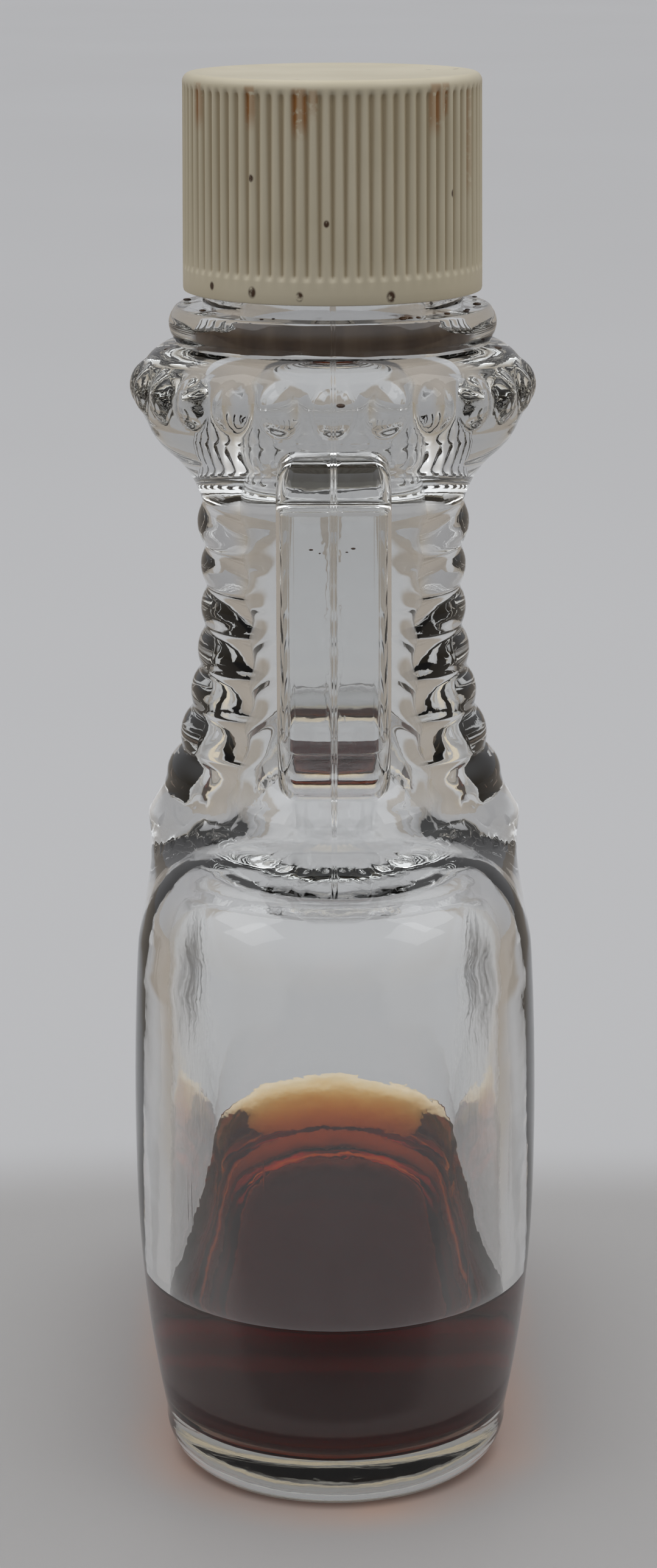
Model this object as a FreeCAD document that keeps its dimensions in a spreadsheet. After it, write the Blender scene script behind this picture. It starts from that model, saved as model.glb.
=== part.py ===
"""Small pressed-glass extract bottle: oblong round-ended body, ringed neck with a loop handle, beaded collar and ribbed cap.

The bottle stands on Z = 0 with its neck on the Z axis. The body is narrow across X and deep along Y, and the loop
handle is on the -Y side. Sizes in millimetres.
"""
import FreeCAD
import Part
import Sketcher
import math
import os

SIZES = {
    # oblong body: a round barrel stretched along Y, with slightly bowed sides
    "body_width": 35.5,
    "body_depth": 68.8,
    "foot_radius": 13.7,
    "heel_radius": 15.4,
    "heel_height": 4.0,
    "heel_curve": 4.4,
    "heel_side_curve": 120.0,
    "side_low_height": 25.0,
    "side_curve": 270.0,
    "side_high_radius": 17.4,
    "side_high_height": 47.0,
    "shoulder_curve": 30.0,
    "shoulder_radius": 16.6,
    "shoulder_height": 52.0,
    "shoulder_turn": 5.5,
    "shoulder_top_radius": 12.0,
    "shoulder_top_height": 55.8,
    # waisted neck
    "neck_root_radius": 16.5,
    "neck_root_height": 50.6,
    "neck_waist_radius": 11.2,
    "neck_waist_height": 76.8,
    "neck_hollow_radius": 50.0,
    "neck_foot_height": 53.6,
    "neck_head_height": 83.8,
    # half rings on the two sides of the neck
    "ring_first_height": 54.8,
    "ring_pitch": 3.92,
    "ring_rise": 0.8,
    "ring_tube_radius": 2.2,
    "ring_offset": 2.0,
    # flared collar with beads
    "flare_radius": 14.7,
    "flare_height": 89.3,
    "flare_curve": 9.0,
    "collar_radius": 17.1,
    "collar_height": 94.5,
    "collar_half_height": 2.3,
    "collar_curve": 4.6,
    "collar_top_radius": 14.0,
    "collar_top_height": 98.5,
    "bead_radius": 2.45,
    "bead_sink": 1.25,
    "bead_height": 94.6,
    # lip under the cap, and the finish inside it
    "lip_radius": 14.2,
    "lip_height": 2.8,
    "lip_curve": 2.0,
    "lip_top_height": 101.8,
    "finish_radius": 11.6,
    # cavity: a rounded box inside the body, then round up the neck
    "base_thickness": 4.0,
    "cavity_width": 29.6,
    "cavity_depth": 63.0,
    "cavity_heel_round": 4.5,
    "cavity_roof_height": 53.4,
    "cavity_roof_round": 5.8,
    "neck_cavity_radius": 12.4,
    "neck_cavity_height": 49.5,
    "neck_cavity_curve": 46.0,
    "bore_radius": 8.3,
    "bore_start_height": 75.0,
    # loop handle
    "strap_width": 9.7,
    "strap_thickness": 3.8,
    "strap_corner": 1.3,
    "strap_reach": 24.0,
    "strap_top_height": 89.3,
    "strap_top_bend": 2.6,
    "strap_low_height": 71.1,
    "strap_low_bend": 8.95,
    "strap_foot_depth": 12.0,
    "spur_width": 0.7,
    "spur_depth": 1.6,
    "spur_head_height": 60.6,
    "spur_foot_height": 55.4,
    # screw cap
    "cap_foot_radius": 13.3,
    "cap_top_radius": 13.17,
    "cap_height": 19.0,
    "cap_edge_round": 0.8,
    "cap_wall": 1.3,
    "cap_top_thickness": 1.6,
    "cap_band_height": 2.1,
    "cap_rib_top_gap": 1.2,
    "cap_groove_depth": 0.34,
    "cap_groove_width": 0.62,
    "total_height": 122.2,
    # liquid
    "liquid_level": 16.5,
    "liquid_clearance": 0.05,
}

RING_COUNT = 8
BEAD_COUNT = 24
RIB_COUNT = 74

LEFT = 1
RIGHT = -1

doc = FreeCAD.newDocument("extract_bottle")
sheet = doc.addObject("Spreadsheet::Sheet", "sizes")
for row, (alias, value) in enumerate(SIZES.items(), start=1):
    sheet.set(f"A{row}", alias)
    sheet.set(f"B{row}", str(value))
    sheet.setAlias(f"B{row}", alias)
doc.recompute()


def named(expression):
    """The expression with each size's name written the way other objects refer to the sheet."""
    words = "".join(c if c.isalnum() or c == "_" else f" {c} " for c in expression).split(" ")
    return "".join(f"sizes.{word}" if word in SIZES else word for word in words)


def amount(expression):
    """The present number of an expression of the sheet's sizes."""
    return float(sheet.evalExpression(named(expression)))


def origin_plane(body, role):
    """The body's own origin plane with the given role."""
    return next(plane for plane in body.Origin.OriginFeatures if plane.Role == role)


def origin_axis(body, role):
    """The body's own origin axis with the given role."""
    return next(axis for axis in body.Origin.OriginFeatures if axis.Role == role)


def new_body(label):
    """An empty body that carries the sub-part's name."""
    body = doc.addObject("PartDesign::Body", label)
    body.Label = label
    return body


def new_sketch(body, name, plane):
    """A sketch on one of the body's origin planes."""
    sketch = body.newObject("Sketcher::SketchObject", name)
    sketch.AttachmentSupport = [(origin_plane(body, plane), "")]
    sketch.MapMode = "FlatFace"
    return sketch


def bind_point(sketch, geometry, point, across, up):
    """Holds one point of a sketch at two expressions; an expression of "0" puts it on the axis."""
    for direction, axis, expression in (("X", -2, across), ("Y", -1, up)):
        if expression == "0":
            sketch.addConstraint(Sketcher.Constraint("PointOnObject", geometry, point, axis))
            continue
        kind = f"Distance{direction}"
        index = sketch.addConstraint(Sketcher.Constraint(kind, -1, 1, geometry, point, amount(expression)))
        sketch.setExpression(f"Constraints[{index}]", named(expression))


def arc_between(start, end, radius, side):
    """The shorter arc from start to end whose centre lies on the given side of the way."""
    way = end - start
    middle = (start + end) * 0.5
    reach = math.sqrt(max(radius ** 2 - way.Length ** 2 / 4, 0.0))
    across = FreeCAD.Vector(-way.y, way.x, 0).normalize() * (side * reach)
    centre = middle + across
    circle = Part.Circle(centre, FreeCAD.Vector(0, 0, 1), radius)
    angles = [math.atan2(point.y - centre.y, point.x - centre.x) for point in (start, end)]
    if side == RIGHT:
        angles.reverse()
    return Part.ArcOfCircle(circle, angles[0], angles[1])


def add_outline(sketch, corners, closed=True):
    """Joins corners by lines and arcs. A corner is (across, up) or (across, up, side, radius of the arc after it)."""
    places = [FreeCAD.Vector(amount(corner[0]), amount(corner[1]), 0) for corner in corners]
    runs = len(corners) if closed else len(corners) - 1
    ends = []
    for index in range(runs):
        start = places[index]
        end = places[(index + 1) % len(places)]
        if len(corners[index]) == 2:
            geometry = sketch.addGeometry(Part.LineSegment(start, end), False)
            ends.append((geometry, 1, 2))
            continue
        side, radius = corners[index][2:]
        geometry = sketch.addGeometry(arc_between(start, end, amount(radius), side), False)
        ends.append((geometry, 1, 2) if side == LEFT else (geometry, 2, 1))
        index_radius = sketch.addConstraint(Sketcher.Constraint("Radius", geometry, amount(radius)))
        sketch.setExpression(f"Constraints[{index_radius}]", named(radius))
    for index in range(runs if closed else runs - 1):
        here = ends[index]
        there = ends[(index + 1) % runs]
        sketch.addConstraint(Sketcher.Constraint("Coincident", here[0], here[2], there[0], there[1]))
    for index, corner in enumerate(corners):
        geometry, point = (ends[index][0], ends[index][1]) if index < runs else (ends[-1][0], ends[-1][2])
        bind_point(sketch, geometry, point, corner[0], corner[1])


def turn(body, kind, name, corners):
    """Turns an outline of radius and height about the Z axis, as added or taken material."""
    sketch = new_sketch(body, f"{name}_outline", "XZ_Plane")
    add_outline(sketch, corners)
    feature = body.newObject(f"PartDesign::{kind}", name)
    feature.Profile = sketch
    feature.ReferenceAxis = (origin_axis(body, "Z_Axis"), [""])
    feature.Angle = 360.0
    doc.recompute()
    return feature


def stretched_turn(body, name, corners):
    """A turned form pulled apart along Y: a half turn about each end of the stretch, and the straight run between."""
    middle = new_sketch(body, f"{name}_middle_outline", "XZ_Plane")
    near, far = corners[1:-1], []
    for index, corner in enumerate(near):
        bend = near[index - 1][2:] if index else ()
        far.insert(0, (f"0 - ({corner[0]})", corner[1], *bend))
    add_outline(middle, near + far)
    run = body.newObject("PartDesign::Pad", f"{name}_middle")
    run.Profile = middle
    run.SideType = "Symmetric"
    run.setExpression("Length", named("(body_depth - body_width)"))
    doc.recompute()
    for end, sign, reverse in (("front", "1", True), ("back", "-1", False)):
        sketch = new_sketch(body, f"{name}_{end}_outline", "XZ_Plane")
        sketch.setExpression("AttachmentOffset.Base.z", named(f"{sign} * (body_depth - body_width) / 2"))
        add_outline(sketch, corners)
        half = body.newObject("PartDesign::Revolution", f"{name}_{end}")
        half.Profile = sketch
        half.ReferenceAxis = (sketch, ["V_Axis"])
        half.Angle = 180.0
        half.Reversed = reverse
        doc.recompute()


def repeat_round(body, feature, name, count):
    """Repeats a feature evenly about the Z axis."""
    pattern = body.newObject("PartDesign::PolarPattern", name)
    pattern.Originals = [feature]
    pattern.Axis = (origin_axis(body, "Z_Axis"), [""])
    pattern.Angle = 360.0
    pattern.Occurrences = count
    body.Tip = pattern
    doc.recompute()
    return pattern


def neck_radius(height):
    """Radius of the waisted neck at a height, as an expression."""
    drop = f"({height} - neck_waist_height)"
    return f"neck_waist_radius + neck_hollow_radius - sqrt(neck_hollow_radius ^ 2 - {drop} ^ 2)"


def add_ring(body, index, sign):
    """One ring, set to one side of the neck so that it fades out before the front and the back."""
    height = f"(ring_first_height + {index} * ring_pitch)"
    side = "right" if sign > 0 else "left"
    ring = body.newObject("PartDesign::AdditiveTorus", f"ring_{side}_{index + 1}")
    reach = f"{neck_radius(height)} + ring_rise - ring_tube_radius - ring_offset"
    ring.setExpression("Radius1", named(reach))
    ring.setExpression("Radius2", named("ring_tube_radius"))
    ring.setExpression("Placement.Base.x", named(f"{sign} * ring_offset"))
    ring.setExpression("Placement.Base.z", named(height))


def add_beads(body):
    """The band of round beads on the collar."""
    bead = body.newObject("PartDesign::AdditiveSphere", "bead")
    bead.setExpression("Radius", named("bead_radius"))
    bead.setExpression("Placement.Base.y", named("0 - (collar_radius - bead_sink)"))
    bead.setExpression("Placement.Base.z", named("bead_height"))
    doc.recompute()
    repeat_round(body, bead, "beads", BEAD_COUNT)


def add_handle(body):
    """The loop handle: a flat strap swept out from under the collar, down and back into the shoulder."""
    path = new_sketch(body, "strap_path", "YZ_Plane")
    add_outline(path, [
        ("0", "strap_top_height"),
        ("0 - strap_reach + strap_top_bend", "strap_top_height", LEFT, "strap_top_bend"),
        ("0 - strap_reach", "strap_top_height - strap_top_bend"),
        ("0 - strap_reach", "strap_low_height", LEFT, "strap_low_bend"),
        ("0 - strap_reach + strap_low_bend", "strap_low_height - strap_low_bend"),
        ("0 - strap_foot_depth", "strap_low_height - strap_low_bend"),
    ], closed=False)
    section = new_sketch(body, "strap_section", "XZ_Plane")
    half = "strap_width / 2"
    flat = "(strap_width / 2 - strap_corner)"
    low = "strap_top_height - strap_thickness / 2"
    high = "strap_top_height + strap_thickness / 2"
    add_outline(section, [
        (f"0 - {flat}", low),
        (flat, low, LEFT, "strap_corner"),
        (half, f"{low} + strap_corner"),
        (half, f"{high} - strap_corner", LEFT, "strap_corner"),
        (flat, high),
        (f"0 - {flat}", high, LEFT, "strap_corner"),
        (f"0 - {half}", f"{high} - strap_corner"),
        (f"0 - {half}", f"{low} + strap_corner", LEFT, "strap_corner"),
    ])
    strap = body.newObject("PartDesign::AdditivePipe", "strap")
    strap.Profile = section
    strap.Spine = (path, [])
    doc.recompute()


def add_spur(body):
    """The thin pointed fin that runs down from the foot of the handle along the mould seam."""
    sketch = new_sketch(body, "spur_outline", "YZ_Plane")
    inside = f"0 - ({neck_radius('neck_waist_height')})"
    add_outline(sketch, [
        (inside, "spur_head_height"),
        (f"0 - ({neck_radius('spur_head_height')}) - spur_depth", "spur_head_height"),
        (f"0 - ({neck_radius('spur_foot_height')})", "spur_foot_height"),
        (inside, "spur_foot_height"),
    ])
    spur = body.newObject("PartDesign::Pad", "spur")
    spur.Profile = sketch
    spur.SideType = "Symmetric"
    spur.setExpression("Length", named("spur_width"))
    doc.recompute()


def round_edges(body, name, height, radius):
    """Rounds all the edges of a body that lie at one height."""
    level = amount(height)
    edges = [
        f"Edge{number}"
        for number, edge in enumerate(body.Shape.Edges, start=1)
        if all(abs(vertex.Z - level) < 1e-6 for vertex in edge.Vertexes)
    ]
    formed = body.Tip
    fillet = body.newObject("PartDesign::Fillet", name)
    fillet.Base = (formed, edges)
    fillet.setExpression("Radius", named(radius))
    doc.recompute()


def add_space(body, gap, top):
    """The round-ended space inside the body, drawn in from the wall by a gap, from the floor up to a height."""
    sketch = new_sketch(body, "space_outline", "XY_Plane")
    sketch.setExpression("AttachmentOffset.Base.z", named(f"base_thickness + {gap}"))
    across = f"(cavity_width / 2 - {gap})"
    straight = "(cavity_depth - cavity_width) / 2"
    end = f"(cavity_depth / 2 - {gap})"
    add_outline(sketch, [
        (across, f"0 - {straight}"),
        (across, straight, LEFT, across),
        ("0", end, LEFT, across),
        (f"0 - {across}", straight),
        (f"0 - {across}", f"0 - {straight}", LEFT, across),
        ("0", f"0 - {end}", LEFT, across),
    ])
    space = body.newObject("PartDesign::Pad", "space")
    space.Profile = sketch
    space.setExpression("Length", named(f"{top} - base_thickness - {gap}"))
    doc.recompute()
    round_edges(body, "heel", f"base_thickness + {gap}", "cavity_heel_round")


def build_glass():
    """The one-piece glass bottle, hollow, with its handle."""
    body = new_body("glass_form")
    stretched_turn(body, "barrel", [
        ("0", "0"),
        ("foot_radius", "0", LEFT, "heel_curve"),
        ("heel_radius", "heel_height", LEFT, "heel_side_curve"),
        ("body_width / 2", "side_low_height", LEFT, "side_curve"),
        ("side_high_radius", "side_high_height", LEFT, "shoulder_curve"),
        ("shoulder_radius", "shoulder_height", LEFT, "shoulder_turn"),
        ("shoulder_top_radius", "shoulder_top_height"),
        ("0", "shoulder_top_height"),
    ])
    turn(body, "Revolution", "neck_form", [
        ("0", "neck_root_height"),
        ("neck_root_radius", "neck_root_height"),
        (neck_radius("neck_foot_height"), "neck_foot_height", RIGHT, "neck_hollow_radius"),
        (neck_radius("neck_head_height"), "neck_head_height", RIGHT, "flare_curve"),
        ("flare_radius", "flare_height"),
        ("collar_radius", "collar_height - collar_half_height", LEFT, "collar_curve"),
        ("collar_radius", "collar_height + collar_half_height"),
        ("collar_top_radius", "collar_top_height"),
        ("lip_radius", "lip_top_height - lip_height", LEFT, "lip_curve"),
        ("lip_radius", "lip_top_height"),
        ("finish_radius", "lip_top_height"),
        ("finish_radius", "total_height - cap_top_thickness"),
        ("0", "total_height - cap_top_thickness"),
    ])
    for index in range(RING_COUNT):
        for sign in (1, -1):
            add_ring(body, index, sign)
    doc.recompute()
    add_beads(body)
    add_handle(body)
    add_spur(body)
    turn(body, "Groove", "neck_cavity", [
        ("0", "neck_cavity_height"),
        ("neck_cavity_radius", "neck_cavity_height", RIGHT, "neck_cavity_curve"),
        ("bore_radius", "bore_start_height"),
        ("bore_radius", "total_height - cap_top_thickness"),
        ("0", "total_height - cap_top_thickness"),
    ])
    cavity = new_body("cavity")
    add_space(cavity, "0", "cavity_roof_height")
    round_edges(cavity, "roof", "cavity_roof_height", "cavity_roof_round")
    bottle = doc.addObject("Part::Cut", "bottle")
    bottle.Base = body
    bottle.Tool = cavity
    doc.recompute()
    return bottle


def build_liquid():
    """What the bottle holds, up to its level."""
    body = new_body("extract")
    add_space(body, "liquid_clearance", "liquid_level")
    return body


def build_cap():
    """The screw cap: a shell with a plain band at its foot and fine upright ribs above it."""
    body = new_body("cap")
    foot = "(total_height - cap_height)"
    inner = "(cap_foot_radius - cap_wall)"
    turn(body, "Revolution", "shell", [
        (inner, foot),
        ("cap_foot_radius", foot),
        ("cap_top_radius", "total_height - cap_edge_round", LEFT, "cap_edge_round"),
        ("cap_top_radius - cap_edge_round", "total_height"),
        ("0", "total_height"),
        ("0", "total_height - cap_top_thickness"),
        (inner, "total_height - cap_top_thickness"),
    ])
    sketch = new_sketch(body, "groove_outline", "XY_Plane")
    sketch.setExpression("AttachmentOffset.Base.z", named(f"{foot} + cap_band_height"))
    outside = "0 - cap_foot_radius - cap_groove_depth"
    floor = "0 - cap_top_radius + cap_groove_depth"
    add_outline(sketch, [
        ("0 - cap_groove_width", outside),
        ("cap_groove_width", outside),
        ("cap_groove_width / 4", floor),
        ("0 - cap_groove_width / 4", floor),
    ])
    groove = body.newObject("PartDesign::Pocket", "groove")
    groove.Profile = sketch
    groove.Reversed = True
    groove.setExpression("Length", named("cap_height - cap_band_height - cap_rib_top_gap"))
    doc.recompute()
    repeat_round(body, groove, "grooves", RIB_COUNT)
    return body


def check_document():
    """Stops if any object of the document failed."""
    for thing in doc.Objects:
        if "Invalid" in thing.State or "Error" in thing.State:
            raise RuntimeError(f"{thing.Label} failed")


def write_parts(bodies):
    """Writes each sub-part's solid to its own STEP file."""
    os.makedirs("parts", exist_ok=True)
    for body in bodies:
        shape = body.Shape
        if shape.isNull() or not shape.isValid() or len(shape.Solids) != 1:
            raise RuntimeError(f"{body.Label} has no single valid solid")
        print(body.Label, "volume", round(shape.Volume, 1), "box", shape.BoundBox)
    for body in bodies:
        body.Shape.exportStep(os.path.join("parts", f"{body.Label}.step"))


bottle_parts = [build_glass(), build_liquid(), build_cap()]
doc.recompute()
check_document()
write_parts(bottle_parts)
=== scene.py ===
"""Dressing for the small pressed-glass extract bottle: clear glass, dark extract, an ivory ribbed cap.

Lengths in the shape functions are millimetres, and each piece is scaled to metres as it is made.
"""
import math
import random

import bmesh
import bpy
import numpy as np
from mathutils import Matrix, Vector


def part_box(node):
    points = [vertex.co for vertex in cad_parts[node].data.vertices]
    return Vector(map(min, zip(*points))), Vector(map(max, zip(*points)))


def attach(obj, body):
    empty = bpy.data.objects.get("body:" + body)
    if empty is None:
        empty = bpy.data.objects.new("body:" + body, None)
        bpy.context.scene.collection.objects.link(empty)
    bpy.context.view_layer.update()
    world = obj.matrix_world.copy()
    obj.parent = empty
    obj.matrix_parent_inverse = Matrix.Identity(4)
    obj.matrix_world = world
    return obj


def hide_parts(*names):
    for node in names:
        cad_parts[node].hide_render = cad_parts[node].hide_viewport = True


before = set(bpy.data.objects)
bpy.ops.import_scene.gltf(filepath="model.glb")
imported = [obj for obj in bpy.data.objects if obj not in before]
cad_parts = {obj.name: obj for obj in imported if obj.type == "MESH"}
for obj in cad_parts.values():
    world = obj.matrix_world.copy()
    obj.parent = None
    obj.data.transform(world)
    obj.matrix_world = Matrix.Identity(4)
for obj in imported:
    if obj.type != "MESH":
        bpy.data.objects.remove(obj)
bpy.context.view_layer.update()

MM = 0.001
LEFT = 1
RIGHT = -1

# ---------------------------------------------------------------- sizes read from the solids
BOTTLE_LOW, BOTTLE_HIGH = [[value / MM for value in corner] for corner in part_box("bottle")]
CAP_LOW, CAP_HIGH = [[value / MM for value in corner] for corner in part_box("cap")]
LIQUID_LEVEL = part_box("extract")[1][2] / MM

HALF_DEPTH = (BOTTLE_HIGH[1] - BOTTLE_LOW[1]) / 2
HALF_WIDTH = 17.75
FOOT_HALF_STRETCH = 16.6
TOTAL_HEIGHT = CAP_HIGH[2]
CAP_FOOT = CAP_LOW[2]
CAP_RADIUS = CAP_HIGH[0]

CAVITY_HALF_WIDTH = 14.8
CAVITY_HALF_DEPTH = 31.5
CAVITY_FLOOR = 4.0
CAVITY_ROOF = 53.4
NECK_CAVITY_FOOT = (12.4, 49.5)
BORE_RADIUS = 8.3
BORE_FOOT = 75.0
BORE_TOP = 121.4

FINISH_RADIUS = 11.6
FINISH_TOP = 120.4
LIP_RADIUS = 14.2
LIP_TOP = 101.8
COLLAR_RADIUS = 16.7
NECK_WAIST = (11.2, 76.8)
NECK_HOLLOW_RADIUS = 50.0
NECK_FOOT = 53.6
NECK_HEAD = 83.8
SHOULDER_SWEEP = (55.4, 9.0)
CAVITY_SWEEP = (53.2, 11.0)
RING_HEIGHTS = [54.8 + 3.92 * index for index in range(8)]
RING_TUBE = 3.1
RING_OFFSET = 2.0
RING_RISE = 0.8
BEAD_COUNT = 24
BEAD_RADIUS = 2.6
BEAD_REACH = 15.6
BEAD_HEIGHT = 94.6
STRAP_REACH = 24.0
STRAP_HALF_WIDTH = 4.85
STRAP_HALF_THICKNESS = 1.9
STRAP_CORNER = 1.75
STRAP_TOP = 89.3
STRAP_FOOT = 62.15
SPUR_TOP = 62.0
SPUR_LENGTH = 5.8
RIB_COUNT = 74
RIB_DEPTH = 0.34
CAP_TAPER = 0.13


# ---------------------------------------------------------------- shape helpers
def soft_most(a, b, blend):
    """The larger of two lengths, eased over a short blend."""
    near = np.maximum(blend - np.abs(a - b), 0) / blend
    return np.maximum(a, b) + near * near * blend / 4


def outline(corners, step):
    """Points along a profile; a corner may carry the side and the radius of an arc to the next one."""
    points = [np.array(corners[0][:2], float)]
    for start, end in zip(corners, corners[1:]):
        a = np.array(start[:2], float)
        b = np.array(end[:2], float)
        chord = np.linalg.norm(b - a)
        count = max(1, math.ceil(chord / step))
        if len(start) == 2:
            points += [a + (b - a) * i / count for i in range(1, count + 1)]
            continue
        side, radius = start[2:]
        normal = np.array([a[1] - b[1], b[0] - a[0]]) / chord
        centre = (a + b) / 2 + side * math.sqrt(radius * radius - chord * chord / 4) * normal
        count = max(count, 4)
        first = math.atan2(*(a - centre)[::-1])
        sweep = side * 2 * math.asin(chord / 2 / radius)
        for i in range(1, count + 1):
            angle = first + sweep * i / count
            points.append(centre + radius * np.array([math.cos(angle), math.sin(angle)]))
    return np.array(points)


def piece_from(name, mesh):
    """A new object that holds the shape built so far."""
    data = bpy.data.meshes.new(name)
    mesh.to_mesh(data)
    mesh.free()
    piece = bpy.data.objects.new(name, data)
    bpy.context.scene.collection.objects.link(piece)
    return piece


def grid_mesh(name, rows):
    """A closed skin over rows of points, capped where the first or the last row hasn't shrunk to a point."""
    rows = np.asarray(rows)
    row_count, column_count = rows.shape[:2]
    mesh = bmesh.new()
    verts = [mesh.verts.new(point * MM) for point in rows.reshape(-1, 3)]
    for i in range(row_count - 1):
        for j in range(column_count):
            k = (j + 1) % column_count
            mesh.faces.new([verts[i * column_count + j], verts[i * column_count + k],
                            verts[(i + 1) * column_count + k], verts[(i + 1) * column_count + j]])
    bmesh.ops.remove_doubles(mesh, verts=mesh.verts, dist=1e-7)
    bmesh.ops.dissolve_degenerate(mesh, edges=mesh.edges, dist=1e-7)
    bmesh.ops.holes_fill(mesh, edges=mesh.edges)
    bmesh.ops.recalc_face_normals(mesh, faces=mesh.faces)
    return piece_from(name, mesh)


def oblong_columns(half_stretch, round_count, straight_count):
    """Directions round an oblong plan: cosine, sine and how far along Y the centre is shifted."""
    columns = []
    for sign in (1, -1):
        for i in range(round_count):
            angle = math.pi * (i + (0 if sign > 0 else round_count)) / round_count
            columns.append((math.cos(angle), math.sin(angle), sign * half_stretch))
        for i in range(straight_count):
            columns.append((-sign, 0.0, sign * half_stretch * (1 - 2 * i / straight_count)))
    return np.array(columns)


def oblong_skin(name, profile, columns):
    """A profile carried round an oblong plan."""
    across, along, shift = columns.T
    rows = [np.stack([radius * across, radius * along + shift, np.full_like(across, height)], axis=1)
            for radius, height in profile]
    return grid_mesh(name, rows)


def round_row(reach, angle, height):
    """A level row of points round the axis; the reach is one number, or one for each angle."""
    level = np.broadcast_to(height, angle.shape)
    return np.stack([reach * np.cos(angle), reach * np.sin(angle), level], axis=1)


def circle_reach(angle, offset_x, radius):
    """How far out a circle set off along X lies in a direction from the axis; below 0 where it is missed."""
    inside = radius ** 2 - (offset_x * np.sin(angle)) ** 2
    return np.where(inside > 0, offset_x * np.cos(angle) + np.sqrt(np.maximum(inside, 0)), -1.0)


def apply_modifier(piece, kind, **settings):
    """Runs one modifier on a piece and keeps its result."""
    modifier = piece.modifiers.new(kind.lower(), kind)
    for key, value in settings.items():
        setattr(modifier, key, value)
    shaped = bpy.data.meshes.new_from_object(piece.evaluated_get(bpy.context.evaluated_depsgraph_get()))
    piece.modifiers.clear()
    piece.data = shaped


def join_solid(piece, other, operation):
    """Adds another closed shape to a piece, or takes it away, and drops the other."""
    bpy.context.view_layer.update()
    apply_modifier(piece, "BOOLEAN", object=other, operation=operation, solver="MANIFOLD")
    bpy.data.objects.remove(other)


def soften_creases(piece, sharp_degrees, lowest, highest, rings, passes):
    """Rounds the creases where joined shapes meet, between two heights."""
    mesh = bmesh.new()
    mesh.from_mesh(piece.data)
    limit = math.radians(sharp_degrees)
    chosen = set()
    for edge in mesh.edges:
        height = (edge.verts[0].co.z + edge.verts[1].co.z) / 2 / MM
        if lowest < height < highest and edge.is_manifold and edge.calc_face_angle(0) > limit:
            chosen.update(edge.verts)
    for _ in range(rings):
        chosen.update([edge.other_vert(vert) for vert in list(chosen) for edge in vert.link_edges])
    for _ in range(passes):
        bmesh.ops.smooth_vert(mesh, verts=list(chosen), factor=0.5,
                              use_axis_x=True, use_axis_y=True, use_axis_z=True)
    mesh.to_mesh(piece.data)
    mesh.free()


def finish_piece(piece, finish, slot, *replaced):
    """Smooths the shading, gives the finish and hands the piece to the frame."""
    piece.data.shade_smooth()
    piece.data.set_sharp_from_angle(angle=math.radians(48))
    piece.data.materials.clear()
    piece.data.materials.append(finish)
    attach(piece, "root")
    if replaced:
        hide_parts(*replaced)


# ---------------------------------------------------------------- shader maths
class Value:
    """A number in a finish: Python's own operators add the Math nodes."""

    def __init__(self, finish, socket):
        self.finish = finish
        self.socket = socket

    def math(self, operation, *others, swap=False):
        values = [self, *others]
        if swap:
            values.reverse()
        node = self.finish.tree.nodes.new("ShaderNodeMath")
        node.operation = operation
        for socket, value in zip(node.inputs, values):
            self.finish.feed(socket, value)
        return Value(self.finish, node.outputs[0])

    def __add__(self, other):
        return self.math("ADD", other)

    def __sub__(self, other):
        return self.math("SUBTRACT", other)

    def __rsub__(self, other):
        return self.math("SUBTRACT", other, swap=True)

    def __mul__(self, other):
        return self.math("MULTIPLY", other)

    def __truediv__(self, other):
        return self.math("DIVIDE", other)

    def __abs__(self):
        return self.math("ABSOLUTE")

    __radd__ = __add__
    __rmul__ = __mul__

    def most(self, other):
        return self.math("MAXIMUM", other)

    def ramp(self, low, high):
        """Eases from 0 at low to 1 at high; the other way round when low is the larger."""
        node = self.finish.node("ShaderNodeMapRange", {"interpolation_type": "SMOOTHSTEP"},
                                Value=self, From_Min=min(low, high), From_Max=max(low, high))
        eased = Value(self.finish, node.outputs[0])
        return eased if low < high else 1 - eased


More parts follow.
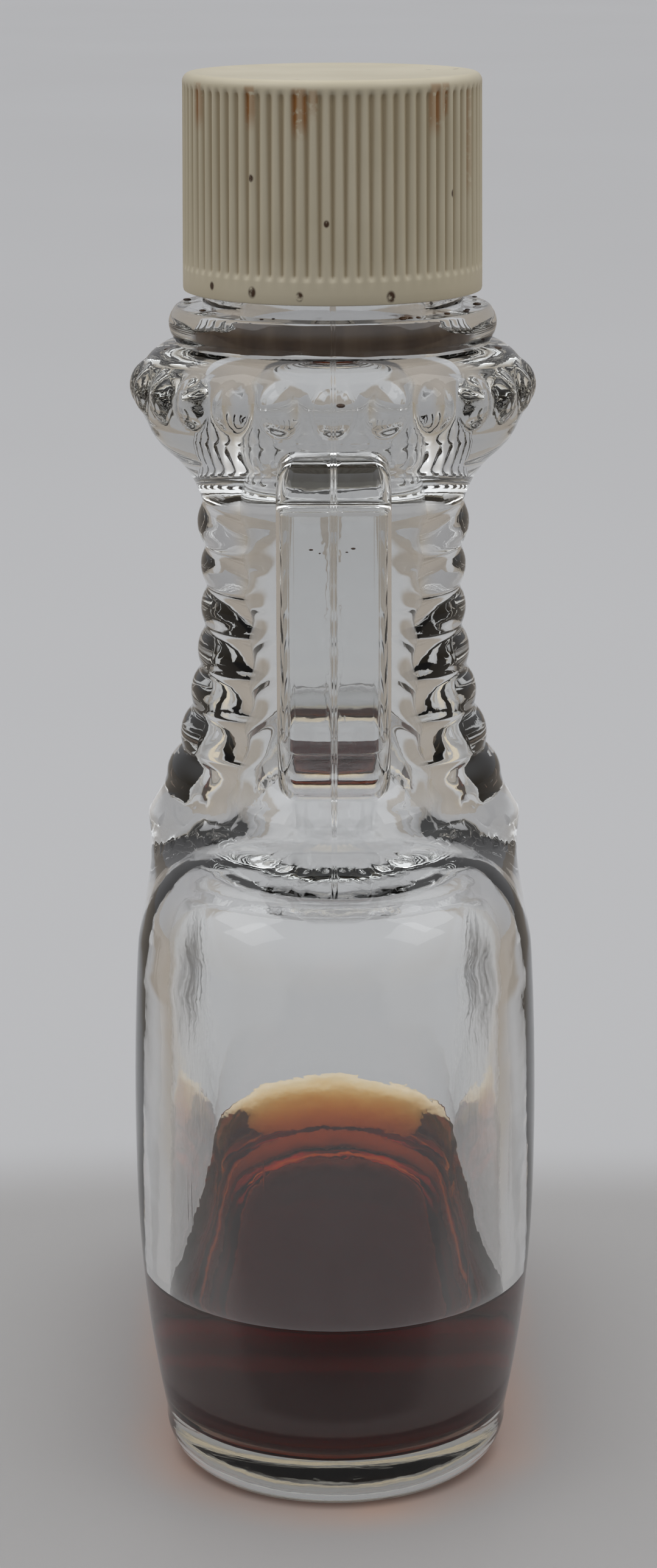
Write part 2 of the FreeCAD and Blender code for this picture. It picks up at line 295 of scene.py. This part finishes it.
class Finish:
    """A material made of nodes, with short ways to add them."""

    def __init__(self, name, tree=None):
        self.material = None
        if tree is None:
            self.material = bpy.data.materials.new(name)
            self.material.use_nodes = True
            tree = self.material.node_tree
        self.tree = tree
        tree.nodes.clear()

    def feed(self, socket, value):
        if isinstance(value, Value):
            value = value.socket
        if isinstance(value, bpy.types.NodeSocket):
            self.tree.links.new(value, socket)
        elif isinstance(value, (tuple, list)) and socket.type == "RGBA" and len(value) == 3:
            socket.default_value = (*value, 1.0)
        else:
            socket.default_value = value

    def node(self, kind, settings=None, **sockets):
        """One node: its settings first, then the values or links of its sockets."""
        node = self.tree.nodes.new(kind)
        for key, value in (settings or {}).items():
            setattr(node, key, value)
        for key, value in sockets.items():
            self.feed(node.inputs[key.replace("_", " ")], value)
        return node

    def place(self):
        """The place on the piece, in metres, as a vector socket."""
        return self.node("ShaderNodeTexCoord").outputs["Object"]

    def axes(self):
        """The three numbers of the place, in millimetres."""
        split = self.node("ShaderNodeSeparateXYZ", Vector=self.place())
        return [Value(self, output) * 1000 for output in split.outputs]

    def noise(self, scale, detail=2.0, roughness=0.5, stretch=None):
        """Cloudy noise from 0 to 1; scale in cells a metre, stretch gives each axis its own share."""
        vector = self.place()
        if stretch:
            vector = self.node("ShaderNodeMapping", Vector=vector, Scale=stretch).outputs[0]
        node = self.node("ShaderNodeTexNoise", Vector=vector, Scale=scale, Detail=detail,
                         Roughness=roughness)
        return Value(self, node.outputs["Fac"])

    def blend(self, factor, first, second):
        """A colour part of the way from the first to the second."""
        node = self.node("ShaderNodeMix", {"data_type": "RGBA"})
        self.feed(node.inputs[0], factor)
        self.feed(node.inputs[6], first)
        self.feed(node.inputs[7], second)
        return node.outputs[2]

    def bump(self, height, distance, strength=1.0, normal=None):
        """A Bump node's normal; distance in millimetres."""
        node = self.node("ShaderNodeBump", Height=height, Distance=distance * MM, Strength=strength)
        if normal is not None:
            self.feed(node.inputs["Normal"], normal)
        return node.outputs[0]

    def end(self, surface, volume=None):
        output = self.node("ShaderNodeOutputMaterial", Surface=surface)
        if volume is not None:
            self.feed(output.inputs["Volume"], volume)
        return self.material

    def let_light_through(self, shader, tint):
        """The shader as it is, with plain tinted shadows in place of black ones."""
        shadow = self.node("ShaderNodeLightPath").outputs["Is Shadow Ray"]
        clear = self.node("ShaderNodeBsdfTransparent", Color=tint)
        node = self.node("ShaderNodeMixShader")
        self.feed(node.inputs[0], shadow)
        self.feed(node.inputs[1], shader)
        self.feed(node.inputs[2], clear.outputs[0])
        return node.outputs[0]


# ---------------------------------------------------------------- finishes
def pressed_glass():
    """Clear soda-lime glass with the faint waves, seam and scratches that pressing and handling leave."""
    finish = Finish("pressed_glass")
    x, _, z = finish.axes()
    waves = finish.noise(140, 2.0)
    orange_peel = finish.noise(700, 2.0)
    seam = abs(x).ramp(0.28, 0.0) * z.ramp(55, 60)
    scratches = finish.noise(900, 2.0, stretch=(1.0, 1.0, 0.03)).ramp(0.70, 0.80)
    scratches = scratches * z.ramp(8, 14) * z.ramp(50, 40)
    normal = finish.bump(waves, 0.10, 0.5)
    normal = finish.bump(orange_peel, 0.012, 0.5, normal)
    normal = finish.bump(seam - scratches * 0.12, 0.12, 0.8, normal)
    glass = finish.node("ShaderNodeBsdfPrincipled", Base_Color=(0.955, 0.96, 0.96), Roughness=0.012,
                        IOR=1.5, Transmission_Weight=1.0, Normal=normal)
    tint = finish.node("ShaderNodeVolumeAbsorption", Color=(0.86, 0.88, 0.86), Density=14.0)
    return finish.end(finish.let_light_through(glass.outputs[0], (0.93, 0.94, 0.93)), tint.outputs[0])


def dark_extract():
    """Dark brown extract that is amber where it is thin."""
    finish = Finish("dark_extract")
    ripple = finish.noise(160, 1.0)
    liquid = finish.node("ShaderNodeBsdfPrincipled", Base_Color=(1.0, 0.99, 0.97), Roughness=0.0, IOR=1.36,
                         Specular_Tint=(1.0, 0.75, 0.76), Transmission_Weight=1.0,
                         Normal=finish.bump(ripple, 0.01, 0.3))
    depth = finish.node("ShaderNodeVolumeAbsorption", Color=(0.852, 0.583, 0.048), Density=420.0)
    return finish.end(finish.let_light_through(liquid.outputs[0], (0.22, 0.075, 0.03)), depth.outputs[0])


def dried_extract(name, thin, thick, bare, covered, back=40.0):
    """Dried liquid between two colours, patchy between the noise levels for bare and covered.

    None is left farther back along Y than the back.
    """
    finish = Finish(name)
    y = finish.axes()[1]
    patches = finish.noise(380, 3.0)
    colour = finish.blend(patches.ramp(0.35, 0.7), thick, thin)
    cover = patches.ramp(bare, covered) * y.ramp(back, back - 4) * 0.88
    film = finish.node("ShaderNodeBsdfPrincipled", Base_Color=colour, Roughness=0.35, IOR=1.45,
                       Alpha=cover, Normal=finish.bump(patches, 0.05))
    return finish.end(film.outputs[0])


# streaks on the cap: degrees round from the front, lower and upper height, half width in degrees, strength
CAP_STREAKS = [
    (-62.0, 117.9, 121.6, 1.6, 0.8),
    (-32.5, 118.3, 121.6, 1.3, 1.0),
    (-12.5, 117.7, 121.5, 1.7, 1.0),
    (-7.2, 119.3, 121.4, 1.0, 0.7),
    (42.3, 117.6, 121.7, 1.6, 0.9),
    (47.5, 118.6, 121.7, 1.2, 0.8),
    (65.0, 112.0, 121.0, 0.9, 0.4),
    (118.0, 116.5, 121.4, 1.5, 0.8),
    (171.0, 118.0, 121.5, 1.4, 0.7),
    (-131.0, 117.0, 121.6, 1.7, 0.8),
]
# spots on the cap: degrees round from the front, height, radius
CAP_SPOTS = [
    (-32.0, 113.9, 0.28),
    (52.0, 112.3, 0.30),
    (-2.3, 110.2, 0.26),
    (-52.0, 104.4, 0.30),
    (-31.5, 104.2, 0.40),
    (-12.4, 104.0, 0.34),
    (22.0, 103.9, 0.42),
    (140.0, 104.2, 0.40),
    (-98.0, 108.0, 0.30),
]


def ivory_plastic():
    """Moulded ivory plastic, dirty in its grooves, with brown streaks and specks of dried liquid."""
    finish = Finish("ivory_plastic")
    x, y, z = finish.axes()
    azimuth = x.math("ARCTAN2", y * -1) * (180 / math.pi)
    radius = (x * x + y * y).math("SQRT")
    cloud = finish.noise(90, 3.0)
    grain = finish.noise(1800, 2.0)
    groove = radius.ramp(13.18, 12.93) * z.ramp(105.0, 105.6) * z.ramp(121.2, 120.9)
    colour = finish.blend(cloud.ramp(0.3, 0.7), (0.55, 0.50, 0.375), (0.61, 0.56, 0.435))
    dirt = groove * (0.40 + cloud * 0.35)
    colour = finish.blend(dirt, colour, (0.25, 0.175, 0.08))
    ragged = finish.noise(1500, 3.0)
    streaks = groove * 0
    for middle, low, high, half_width, strength in CAP_STREAKS:
        band = abs(azimuth - middle).ramp(half_width * 2.2, half_width * 1.1)
        band = band * z.ramp(low - 0.8, low + 1.4) * z.ramp(high + 0.2, high - 0.2)
        streaks = streaks.most(band * strength)
    streaks = streaks * (groove * 0.45 + 0.55) * ragged.ramp(0.30, 0.46)
    colour = finish.blend(streaks, colour, (0.31, 0.135, 0.035))
    spots = groove * 0
    for middle, height, size in CAP_SPOTS:
        across = (azimuth - middle) * (math.pi / 180 * 13.2)
        away = (across * across + (z - height) * (z - height) * 0.6).math("SQRT")
        spots = spots.most(away.ramp(size * 1.2, size * 0.6))
    cells = finish.node("ShaderNodeTexVoronoi", Vector=finish.place(), Scale=420.0)
    specks = Value(finish, cells.outputs["Distance"]).ramp(0.16, 0.09) * cloud.ramp(0.50, 0.62)
    specks = specks * z.ramp(121.0, 121.9) * radius.ramp(6.5, 12.5)
    spotted = (spots * ragged.ramp(0.25, 0.5)).most(specks * 0.8)
    colour = finish.blend(spotted, colour, (0.055, 0.026, 0.012))
    normal = finish.bump(grain, 0.012, 0.5)
    plastic = finish.node("ShaderNodeBsdfPrincipled", Base_Color=colour, IOR=1.49,
                          Roughness=0.34 + dirt * 0.35 + cloud * 0.08, Normal=normal)
    return finish.end(plastic.outputs[0])


def pale_table():
    """The plain pale floor, darker with painted shade in a pool round the bottle, with a painted glow of
    light through the extract, and painted shade round and under the foot.

    The painted shade on the floor in front, the darker, warmer floor at the sides, and the painted light
    gathered behind show only in the glass.
    """
    finish = Finish("pale_table")
    x, y = finish.axes()[:2]
    mottle = finish.noise(4, 2.0)
    fine = finish.noise(900, 2.0)
    # painted shade: a darker pool on the floor round the bottle, with a wavy far edge
    near = (y + finish.noise(9, 1.0) * 26).ramp(74, 52)
    colour = finish.blend(mottle, (0.505, 0.505, 0.512), (0.535, 0.538, 0.547))
    colour = finish.blend(near, colour, (0.385, 0.377, 0.374))
    in_glass = 1 - Value(finish, finish.node("ShaderNodeLightPath").outputs["Is Camera Ray"])
    beside = (abs(x) - (y + 320) * 0.1).ramp(30, 70) * in_glass
    colour = finish.blend(beside, colour, (0.34, 0.295, 0.245))
    # painted shade on the floor in front of the bottle, seen only in the glass
    painted_shade_in_front = y.ramp(-43, -62) * in_glass
    colour = finish.blend(painted_shade_in_front, colour, (0.09, 0.085, 0.085))
    past_end = (abs(y) - FOOT_HALF_STRETCH).most(0)
    from_middle = (x * x + past_end * past_end).math("SQRT")
    # painted glow of light through the extract on the floor round the foot
    glow = from_middle.ramp(21.0, 14.5) * (finish.noise(60, 2.0) * 0.9 - 0.1)
    colour = finish.blend(glow, colour, (0.66, 0.40, 0.27))
    shadow = from_middle.ramp(15.4, 13.8) * y.ramp(-10, -30) * 0.7
    colour = finish.blend(shadow, colour, (0.11, 0.08, 0.07))
    # painted light gathered on the floor behind the bottle, seen only in the glass
    behind = y.ramp(22, 34) * y.ramp(84, 52) * abs(x).ramp(19, 12) * in_glass
    colour = finish.blend(behind, colour, (0.86, 0.75, 0.58))
    # painted dark red-brown shade on the floor under the foot
    painted_shade_under_foot = from_middle.ramp(13.0, 9.0)
    colour = finish.blend(painted_shade_under_foot, colour, (0.17, 0.03, 0.02))
    table = finish.node("ShaderNodeBsdfPrincipled", Base_Color=colour, Roughness=0.5,
                        Normal=finish.bump(fine, 0.05, 0.3))
    return finish.end(table.outputs[0])


# ---------------------------------------------------------------- glass bottle
def neck_radius(height):
    """Plain radius of the hollow-sided neck at a height."""
    waist_radius, waist_height = NECK_WAIST
    lift = np.sqrt(NECK_HOLLOW_RADIUS ** 2 - (height - waist_height) ** 2)
    return waist_radius + NECK_HOLLOW_RADIUS - lift


def front_sweep(front_share, height, place):
    """How far the neck flares toward the front and the back, where it runs out into the shoulder.

    The place is the height of the flare's foot and its radius.
    """
    foot, sweep = place
    above = np.clip(height - foot + 3 * (1 - front_share), 0, sweep)
    return front_share ** 2 * (sweep - np.sqrt(sweep ** 2 - (sweep - above) ** 2))


def body_form():
    """The oblong body: a round barrel stretched along Y, with slightly bowed sides, on a ring foot."""
    inside_solid = 0.12
    profile = outline([
        (0.0, 0.9),
        (10.4, 0.8),
        (12.3, 0.18),
        (13.0, 0.0),
        (13.7, 0.0, LEFT, 4.4),
        (15.4, 4.0, LEFT, 120.0),
        (HALF_WIDTH, 25.0, LEFT, 270.0),
        (17.4, 47.0, LEFT, 30.0),
        (16.6, 52.0, LEFT, 7.0),
        (12.8, 55.2, LEFT, 30.0),
        (0.0, 57.2),
    ], 0.8)
    half_stretch = HALF_DEPTH - HALF_WIDTH - inside_solid
    return oblong_skin("bottle_glass", profile, oblong_columns(half_stretch, 88, 12))


def neck_form():
    """The neck with its half rings, beaded collar and lip, and the finish hidden in the cap."""
    foot_radius = neck_radius(NECK_FOOT)
    head_radius = neck_radius(NECK_HEAD)
    profile = np.concatenate([
        outline([(0.0, 50.6), (16.5, 50.6)], 8.0),
        outline([(foot_radius, NECK_FOOT, RIGHT, NECK_HOLLOW_RADIUS), (head_radius, NECK_HEAD)], 0.42),
        outline([
            (head_radius, NECK_HEAD, RIGHT, 9.0),
            (14.9, 89.0, LEFT, 6.0),
            (COLLAR_RADIUS, 91.6, LEFT, 5.0),
            (COLLAR_RADIUS, 97.0, LEFT, 4.0),
            (14.1, 98.6),
            (LIP_RADIUS, 99.0, LEFT, 2.0),
            (LIP_RADIUS, 101.5, LEFT, 0.5),
            (13.8, LIP_TOP),
            (FINISH_RADIUS, LIP_TOP),
        ], 0.36)[1:],
        outline([(FINISH_RADIUS, LIP_TOP), (FINISH_RADIUS, FINISH_TOP), (0.0, FINISH_TOP)], 6.0)[1:],
    ])
    angle = np.arange(BEAD_COUNT * 12) * (2 * math.pi / (BEAD_COUNT * 12)) - math.pi / 2
    front_share = np.sin(angle) ** 2
    half_bead = math.pi / BEAD_COUNT
    from_bead = (angle + math.pi / 2 + half_bead) % (2 * half_bead) - half_bead
    rows = []
    for radius, height in profile:
        reach = np.full_like(angle, radius)
        if radius > 10 and NECK_FOOT - 0.1 <= height < 90:
            reach += front_sweep(front_share, height, SHOULDER_SWEEP)
            for ring_height in RING_HEIGHTS:
                rise = RING_TUBE ** 2 - (height - ring_height) ** 2
                if rise > 0:
                    centre_line = neck_radius(ring_height) + RING_RISE - RING_TUBE - RING_OFFSET
                    for sign in (1, -1):
                        out = circle_reach(angle, sign * RING_OFFSET, centre_line + math.sqrt(rise))
                        reach = soft_most(reach, out, 0.45)
        rise = BEAD_RADIUS ** 2 - (height - BEAD_HEIGHT) ** 2
        if rise > 0 and radius > 12:
            inside = rise - (BEAD_REACH * np.sin(from_bead)) ** 2
            out = np.where(inside > 0, BEAD_REACH * np.cos(from_bead) + np.sqrt(np.maximum(inside, 0)), 0)
            reach = soft_most(reach, out, 0.14)
        rows.append(round_row(reach, angle, height))
    return grid_mesh("neck_form", rows)


def handle_form():
    """The loop handle: a flat strap with rounded edges, from under the collar down and into the neck."""
    top_bend = 2.6
    low_bend = 8.95
    path = outline([
        (-10.0, STRAP_TOP),
        (-STRAP_REACH + top_bend, STRAP_TOP, LEFT, top_bend),
        (-STRAP_REACH, STRAP_TOP - top_bend),
        (-STRAP_REACH, STRAP_FOOT + low_bend, LEFT, low_bend),
        (-STRAP_REACH + low_bend, STRAP_FOOT),
        (-11.6, STRAP_FOOT),
    ], 0.6)
    turn = (np.arange(44) + 0.5) * (2 * math.pi / 44)
    wide = (STRAP_HALF_WIDTH - STRAP_CORNER) * np.sign(np.cos(turn)) + STRAP_CORNER * np.cos(turn)
    thick = (STRAP_HALF_THICKNESS - STRAP_CORNER) * np.sign(np.sin(turn)) + STRAP_CORNER * np.sin(turn)
    along = np.gradient(path, axis=0)
    along /= np.linalg.norm(along, axis=1)[:, None]
    rows = []
    for (y, z), (ty, tz) in zip(path, along):
        rows.append(np.stack([wide, y - tz * thick, z + ty * thick], axis=1))
    return grid_mesh("handle_form", rows)


def spur_form():
    """The thin pointed fin under the foot of the handle, along the mould seam."""
    tip = 0.18
    rows = []
    for share in np.linspace(0, 1, 9):
        height = SPUR_TOP - share * SPUR_LENGTH
        front = neck_radius(height) + front_sweep(1.0, height, SHOULDER_SWEEP)
        root = front - 1.2
        edge = front + 1.5 * (1 - share) + 0.04
        half = 0.55 * (1 - 0.5 * share)
        rows.append([(half, -root, height), (-half, -root, height),
                     (-tip, -edge, height), (tip, -edge, height)])
    return grid_mesh("spur_form", rows)


def cavity_profile(grown=0.0):
    """The side of the space inside the body, measured out from the centres of its round ends."""
    side = CAVITY_HALF_WIDTH + grown
    floor = CAVITY_FLOOR - grown
    heel = 4.5
    roof = 4.8
    return outline([
        (0.0, floor),
        (side - heel, floor, LEFT, heel),
        (side, floor + heel),
        (side, CAVITY_ROOF - roof, LEFT, roof),
        (side - roof, CAVITY_ROOF),
        (0.0, CAVITY_ROOF),
    ], 0.8)


def cavity_columns():
    """Directions round the plan of the space inside the body."""
    return oblong_columns(CAVITY_HALF_DEPTH - CAVITY_HALF_WIDTH, 72, 12)


def neck_cavity_form():
    """The round space up the neck, eased into the roof of the space below."""
    foot_radius, foot = NECK_CAVITY_FOOT
    profile = outline([
        (0.0, foot),
        (foot_radius, foot, RIGHT, 46.0),
        (BORE_RADIUS, BORE_FOOT),
        (BORE_RADIUS, BORE_TOP),
        (0.0, BORE_TOP),
    ], 0.8)
    angle = np.arange(112) * (2 * math.pi / 112)
    front_share = np.sin(angle) ** 2
    rows = []
    for radius, height in profile:
        reach = np.full_like(angle, radius)
        if 51 < height < 66:
            reach += front_sweep(front_share, height, CAVITY_SWEEP)
        rows.append(round_row(reach, angle, height))
    return grid_mesh("neck_cavity_form", rows)


def make_bottle():
    """The glass: body, neck, handle and spur in one piece, less the space inside."""
    bottle = body_form()
    join_solid(bottle, neck_form(), "UNION")
    soften_creases(bottle, 12, 50.5, 57.5, 4, 22)
    join_solid(bottle, handle_form(), "UNION")
    join_solid(bottle, spur_form(), "UNION")
    space = oblong_skin("space", cavity_profile(), cavity_columns())
    join_solid(space, neck_cavity_form(), "UNION")
    soften_creases(space, 9, 49.0, 57.0, 5, 30)
    join_solid(bottle, space, "DIFFERENCE")
    finish_piece(bottle, pressed_glass(), "bottle_glass", "bottle")


# ---------------------------------------------------------------- extract
def make_extract():
    """The liquid, just into the wall so that no air shows, with its edge drawn up the glass."""
    into_wall = 0.08
    climb = 0.75
    side = [point for point in cavity_profile(into_wall) if point[1] < LIQUID_LEVEL]
    top_radius = CAVITY_HALF_WIDTH + into_wall
    surface = [(top_radius - inward, LIQUID_LEVEL + climb * math.exp(-inward / 0.75))
               for inward in (0.0, 0.12, 0.3, 0.55, 0.9, 1.4, 2.1, 3.2, 5.0, 8.0, 11.0, top_radius)]
    extract = oblong_skin("extract_liquid", np.array([*side, *surface]), cavity_columns())
    finish_piece(extract, dark_extract(), "extract_liquid", "extract")


# ---------------------------------------------------------------- cap
def make_cap():
    """The ribbed screw cap, a shell with a plain band at its foot and an eased top edge."""
    foot = CAP_FOOT
    top = TOTAL_HEIGHT
    radius = CAP_RADIUS
    shoulder = radius - CAP_TAPER
    inner = 11.9
    ceiling = top - 1.6
    band = 2.6
    edge_curve = 0.8
    dish = top - 0.12
    # each row of the shell: how far out, how high, and how much of the ribs' depth it has
    rows = [
        (inner, ceiling, 0),
        (inner, foot + 0.3, 0),
        (12.1, foot, 0),
        (radius - 0.2, foot, 0),
        (radius - 0.05, foot + 0.06, 0),
        (radius, foot + 0.25, 0),
        (radius, foot + 1.0, 0),
        (radius, foot + 1.9, 0),
        (radius, foot + 2.1, 0.1),
        (radius, foot + 2.3, 0.6),
        (radius, foot + band, 1),
    ]
    for share in np.linspace(0.1, 0.97, 9):
        rows.append((radius - CAP_TAPER * share, foot + band + share * (ceiling - foot - band), 1))
    rows += [(shoulder, top - 1.5, 1), (shoulder, top - 1.25, 0.7), (shoulder, top - 1.0, 0.2)]
    for degrees in range(0, 91, 15):
        turn = math.radians(degrees)
        rows.append((shoulder - edge_curve + edge_curve * math.cos(turn),
                     top - edge_curve + edge_curve * math.sin(turn), 0))
    rows += [(radius - 1.4, top - 0.02, 0), (radius - 1.9, top - 0.10, 0), (radius - 3.0, dish, 0),
             (6.0, dish, 0), (0.0, dish, 0)]
    angle = np.arange(RIB_COUNT * 12) * (2 * math.pi / (RIB_COUNT * 12)) - math.pi / 2
    valley = 1 - np.abs(np.cos(angle * RIB_COUNT / 2)) ** 1.2
    points = [round_row(0.0, angle, ceiling)]
    for reach, height, ribbed in rows:
        points.append(round_row(reach - RIB_DEPTH * ribbed * valley, angle, height))
    cap = grid_mesh("screw_cap", points)
    finish_piece(cap, ivory_plastic(), "cap_plastic", "cap")


# ---------------------------------------------------------------- dried liquid
def make_ring(name, section, wobble, columns=180):
    """A thin ring of dried liquid whose edge wanders up and down.

    Each corner of the section is how far out, how high, and how much it wanders.
    """
    angle = np.arange(columns) * (2 * math.pi / columns)
    wander = np.sin(angle * 3 + 0.6) * 0.5 + np.sin(angle * 7 + 1.9) * 0.3 + np.sin(angle * 16 + 0.3) * 0.2
    return grid_mesh(name, [round_row(radius, angle, height + wobble * loose * wander)
                            for radius, height, loose in section + section[:1]])


def make_film():
    """A thin, patchy dark brown band on the front of the bore, just in from the glass."""
    outer = BORE_RADIUS + 0.14
    inner = BORE_RADIUS + 0.06
    section = [(outer, 99.3, 1), (outer, 100.5, 0), (inner, 100.5, 0), (inner, 99.3, 1)]
    film = make_ring("bore_film", section, 0.3)
    finish = dried_extract("dark_bore_band", (0.20, 0.13, 0.08), (0.085, 0.047, 0.026), 0.15, 0.35, 3.0)
    finish_piece(film, finish, "extract_liquid")


def make_crust():
    """Crusted extract on top of the lip, under the cap's rim."""
    section = [(11.75, 101.84, 0), (12.9, 101.84, 0), (12.7, 102.12, 1), (11.75, 102.3, 1)]
    crust = make_ring("rim_crust", section, 0.14)
    finish = dried_extract("dried_crust", (0.16, 0.09, 0.045), (0.04, 0.02, 0.012), 0.56, 0.68)
    finish_piece(crust, finish, "extract_liquid")


def make_specks():
    """Flat specks of dried extract on the lip, the collar and the handle."""
    chance = random.Random(7)
    # degrees round from the front, how far out, how high, radius
    spots = [
        (-77, 14.9, 98.2, 0.45),
        (76, 14.9, 98.3, 0.5),
        (2, 18.1, 95.4, 0.5),
        (-4.2, 25.9, 84.5, 0.22),
        (-2.6, 25.9, 84.2, 0.16),
        (3.6, 25.9, 84.6, 0.24),
        (2.4, 25.9, 84.3, 0.15),
    ]
    for _ in range(22):
        spots.append((chance.uniform(-180, 180), 12.6 + chance.random(), 101.95, chance.uniform(0.18, 0.4)))
    specks = bmesh.new()
    for degrees, reach, height, size in spots:
        turn = math.radians(degrees) - math.pi / 2
        place = Matrix.Translation((reach * math.cos(turn) * MM, reach * math.sin(turn) * MM, height * MM))
        shape = Matrix.Diagonal((size * MM, size * MM * chance.uniform(0.6, 1.0), size * MM * 0.35, 1))
        placed = place @ Matrix.Rotation(turn, 4, "Z") @ shape
        bmesh.ops.create_icosphere(specks, subdivisions=2, radius=1, matrix=placed)
    finish = dried_extract("dried_spots", (0.10, 0.05, 0.022), (0.03, 0.014, 0.008), 0.1, 0.2)
    finish_piece(piece_from("dried_specks", specks), finish, "extract_liquid")


# ---------------------------------------------------------------- floor, light and camera
def make_floor():
    """A wide flat table top."""
    mesh = bmesh.new()
    bmesh.ops.create_grid(mesh, x_segments=4, y_segments=4, size=6.0)
    table = piece_from("table_top", mesh)
    table.data.materials.append(pale_table())


def make_world():
    """Soft light from above, with a dimmer, warmer room round the sides."""
    world = bpy.data.worlds.new("soft_room")
    bpy.context.scene.world = world
    world.use_nodes = True
    room = Finish("room", world.node_tree)
    direction = room.node("ShaderNodeTexCoord").outputs["Generated"]
    split = room.node("ShaderNodeSeparateXYZ", Vector=direction)
    back, up = [Value(room, output) for output in split.outputs][1:]
    colour = room.blend(up.ramp(0.02, 0.75), (0.34, 0.295, 0.235), (1.02, 1.03, 1.05))
    colour = room.blend(back.ramp(0.25, 0.9) * up.ramp(0.9, 0.4), colour, (0.36, 0.36, 0.37))
    path = room.node("ShaderNodeLightPath")
    colour = room.blend(path.outputs["Is Camera Ray"], colour, (0.60, 0.60, 0.61))
    light = room.node("ShaderNodeBackground", Color=colour, Strength=1.0)
    room.node("ShaderNodeOutputWorld", Surface=light.outputs[0])


def make_lamp(name, degrees, height, distance, size, power):
    """A soft square lamp at a direction round the bottle, facing it."""
    data = bpy.data.lights.new(name, "AREA")
    data.size = size
    data.energy = power
    lamp = bpy.data.objects.new(name, data)
    turn = math.radians(degrees) - math.pi / 2
    lamp.location = (distance * math.cos(turn), distance * math.sin(turn), height)
    aim = Vector((0, 0, 0.08)) - lamp.location
    lamp.rotation_euler = aim.to_track_quat("-Z", "Y").to_euler()
    bpy.context.scene.collection.objects.link(lamp)


def make_camera():
    """A long lens close in front of the bottle, a little above it and tipped down."""
    tip_down = 0.2551
    lean = -0.003
    data = bpy.data.cameras.new("camera")
    data.lens = 82.9
    data.clip_start = 0.01
    camera = bpy.data.objects.new("camera", data)
    place = Matrix.Translation((-0.0005, -0.3222, 0.1416))
    tip = Matrix.Rotation(math.pi / 2 - tip_down, 4, "X")
    camera.matrix_world = place @ tip @ Matrix.Rotation(lean, 4, "Z")
    bpy.context.scene.collection.objects.link(camera)
    bpy.context.scene.camera = camera


make_bottle()
make_extract()
make_cap()
make_film()
make_crust()
make_specks()
make_floor()
make_world()
for lamp_name, lamp_degrees in (("lamp_left", -80), ("lamp_right", 80)):
    make_lamp(lamp_name, lamp_degrees, height=0.75, distance=0.55, size=0.4, power=0.6)
make_camera()
bpy.context.scene.view_settings.view_transform = "Standard"
